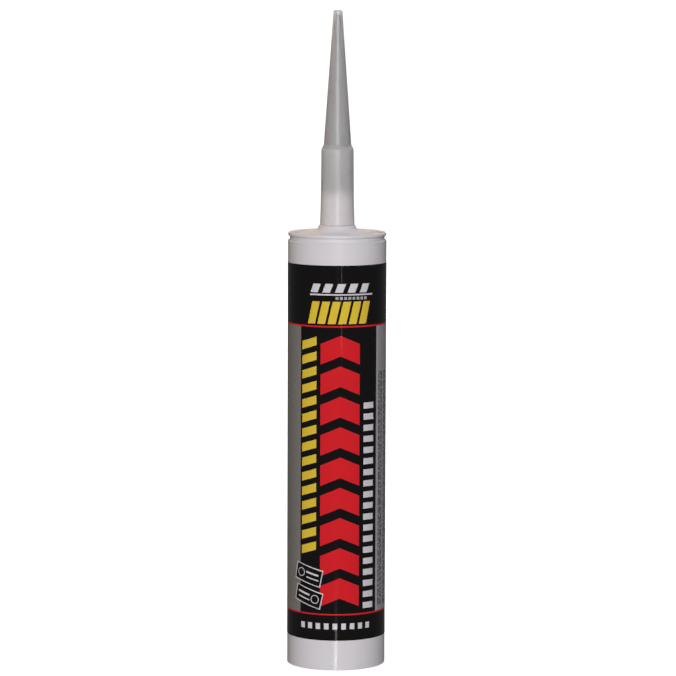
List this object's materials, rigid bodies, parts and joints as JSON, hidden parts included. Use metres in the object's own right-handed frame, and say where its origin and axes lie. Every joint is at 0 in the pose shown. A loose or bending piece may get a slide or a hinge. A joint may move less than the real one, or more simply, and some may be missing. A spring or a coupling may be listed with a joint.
{
  "type": "construction adhesive cartridge",
  "caption": "Cylindrical cartridge of construction adhesive with a long tapered nozzle and a plunger that a dispensing gun pushes forward.",
  "frame": {"origin": "middle of the rear end, on the surface that the cartridge stands on", "axes": "+Z along the cartridge towards the nozzle's tip, -Y out of the front of the label, +X to the right of the label seen from the front"},
  "size_m": [0.0492, 0.0491, 0.3243],
  "materials": {
    "barrel_plastic": "white polyethylene, soft gloss",
    "foil": "lacquered aluminium foil",
    "nozzle_plastic": "natural translucent polyethylene, satin",
    "plunger_plastic": "white polyethylene, satin",
    "adhesive": "tan paste, wet sheen",
    "label_film": "printed film, gloss black ground",
    "red_ink": "red ink on gloss film",
    "yellow_ink": "yellow ink on gloss film",
    "white_ink": "pale ink on gloss film",
    "grey_ink": "grey ink on gloss film"
  },
  "bodies": {
    "cartridge": {"barrel": "barrel_plastic", "head": "barrel_plastic", "foil_seal": "foil", "adhesive": "adhesive", "label": "label_film", "print_red": "red_ink", "print_yellow": "yellow_ink", "print_white": "white_ink", "print_grey": "grey_ink"},
    "plunger": {"plunger": "plunger_plastic"},
    "nozzle": {"nozzle": "nozzle_plastic"}
  },
  "joints": [
    {"name": "plunger_slide", "type": "slide", "parent": "cartridge", "child": "plunger", "axis": [0, 0, 1], "range_m": [0, 0.176], "deforming": ["adhesive"]},
    {"name": "nozzle_lift", "type": "slide", "parent": "cartridge", "child": "nozzle", "axis": [0, 0, 1], "range_m": [0, 0.03]}
  ]
}
